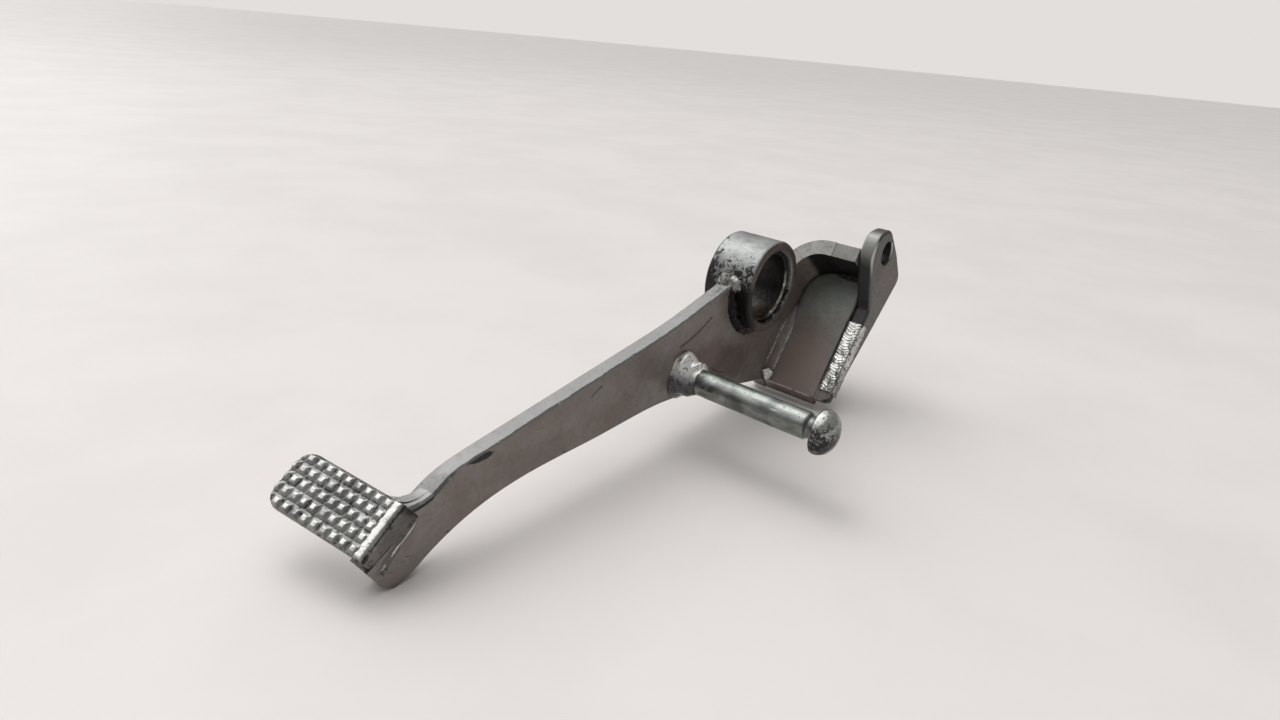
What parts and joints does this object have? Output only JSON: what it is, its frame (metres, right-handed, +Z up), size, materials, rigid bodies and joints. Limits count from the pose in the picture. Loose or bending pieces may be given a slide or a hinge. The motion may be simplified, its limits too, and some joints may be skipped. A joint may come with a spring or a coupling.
{
  "type": "motorcycle foot control lever",
  "caption": "Welded flat-bar foot lever with a bushed pivot boss, a studded toe pad, a grooved spring peg and a rear bracket with a clevis ear.",
  "frame": {"origin": "centre of the pivot bore, half way along it", "axes": "+X from the pivot towards the foot pad, level with the surface the lever stands on; +Y along the pivot bore and the spring peg, towards the peg's head; +Z up"},
  "size_m": [0.2212, 0.087, 0.0653],
  "materials": {
    "paint": "aged semi-gloss silver-grey paint, scratched",
    "boss_steel": "worn silver paint with vertical scratches and greasy scuffs",
    "liner": "oily dark steel",
    "weld": "rough painted weld bead",
    "bright_weld": "bright rippled weld bead",
    "peg_steel": "satin grey-green steel with small dark pits",
    "tread_steel": "worn bright pyramids over dark grooves"
  },
  "bodies": {
    "root": {"arm_plate": "paint", "pivot_boss": "boss_steel", "pivot_bush": "liner", "boss_weld_front": "weld", "boss_weld_rear": "weld", "spring_peg": "peg_steel", "peg_weld": "bright_weld", "web_plate": "paint", "wall_tab": "paint", "clevis_ear": "paint", "ear_weld": "bright_weld", "web_weld": "weld", "wall_weld": "weld", "pad_tread": "tread_steel", "pad_base": "paint", "pad_weld_front": "weld", "pad_weld_rear": "weld", "pad_weld_corner": "paint"}
  },
  "joints": []
}
